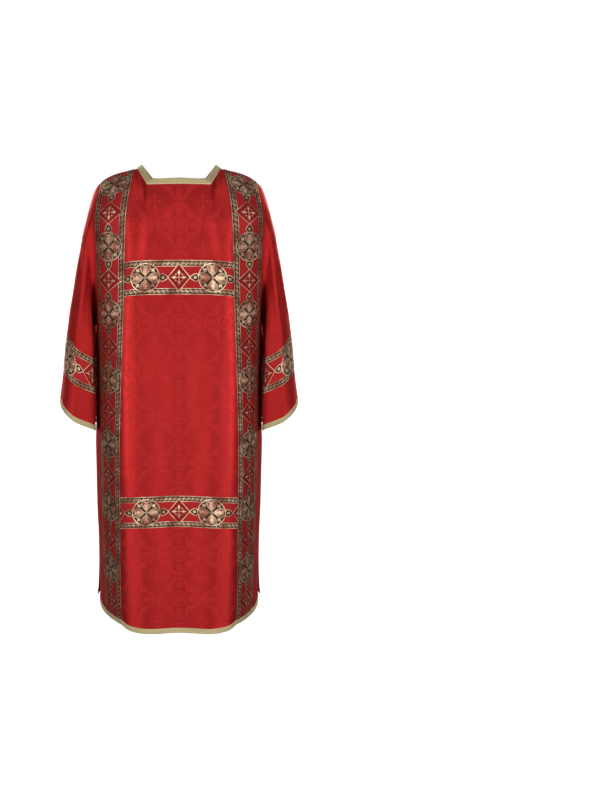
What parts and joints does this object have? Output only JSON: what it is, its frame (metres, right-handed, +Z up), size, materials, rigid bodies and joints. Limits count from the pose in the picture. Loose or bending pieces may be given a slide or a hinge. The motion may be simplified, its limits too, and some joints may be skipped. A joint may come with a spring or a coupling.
{
  "type": "dalmatic",
  "caption": "Liturgical tunic with square-cut wide sleeves, square neck, side slits, woven figured bands and braid edging, in its worn hollow form.",
  "frame": {"origin": "middle of the neck, level with the shoulder points beside the neck, where the wearer's shoulders hold the garment up", "axes": "+Z up along the wearer, the front faces -Y, the wearer's left is +X"},
  "size_m": [0.6766, 0.4179, 1.2733],
  "materials": {
    "panel_front": "red silk-look damask",
    "panel_back": "red silk-look damask",
    "sleeve_left": "red silk-look damask",
    "sleeve_right": "red silk-look damask",
    "orphrey_left": "woven band, antique gold on red",
    "orphrey_right": "woven band, antique gold on red",
    "cross_band_front_upper": "woven band, antique gold on red",
    "cross_band_front_lower": "woven band, antique gold on red",
    "cross_band_back_upper": "woven band, antique gold on red",
    "cross_band_back_lower": "woven band, antique gold on red",
    "sleeve_band_left": "woven band, antique gold on red",
    "sleeve_band_right": "woven band, antique gold on red",
    "neck_galloon_front": "pale gold woven braid",
    "neck_galloon_back": "pale gold woven braid",
    "hem_galloon_front": "pale gold woven braid",
    "hem_galloon_back": "pale gold woven braid",
    "cuff_galloon_left": "pale gold woven braid",
    "cuff_galloon_right": "pale gold woven braid"
  },
  "bodies": {
    "root": {"panel_front": "panel_front", "panel_back": "panel_back", "sleeve_left": "sleeve_left", "sleeve_right": "sleeve_right", "orphrey_left": "orphrey_left", "orphrey_right": "orphrey_right", "cross_band_front_upper": "cross_band_front_upper", "cross_band_front_lower": "cross_band_front_lower", "cross_band_back_upper": "cross_band_back_upper", "cross_band_back_lower": "cross_band_back_lower", "sleeve_band_left": "sleeve_band_left", "sleeve_band_right": "sleeve_band_right", "neck_galloon_front": "neck_galloon_front", "neck_galloon_back": "neck_galloon_back", "hem_galloon_front": "hem_galloon_front", "hem_galloon_back": "hem_galloon_back", "cuff_galloon_left": "cuff_galloon_left", "cuff_galloon_right": "cuff_galloon_right"}
  },
  "joints": []
}
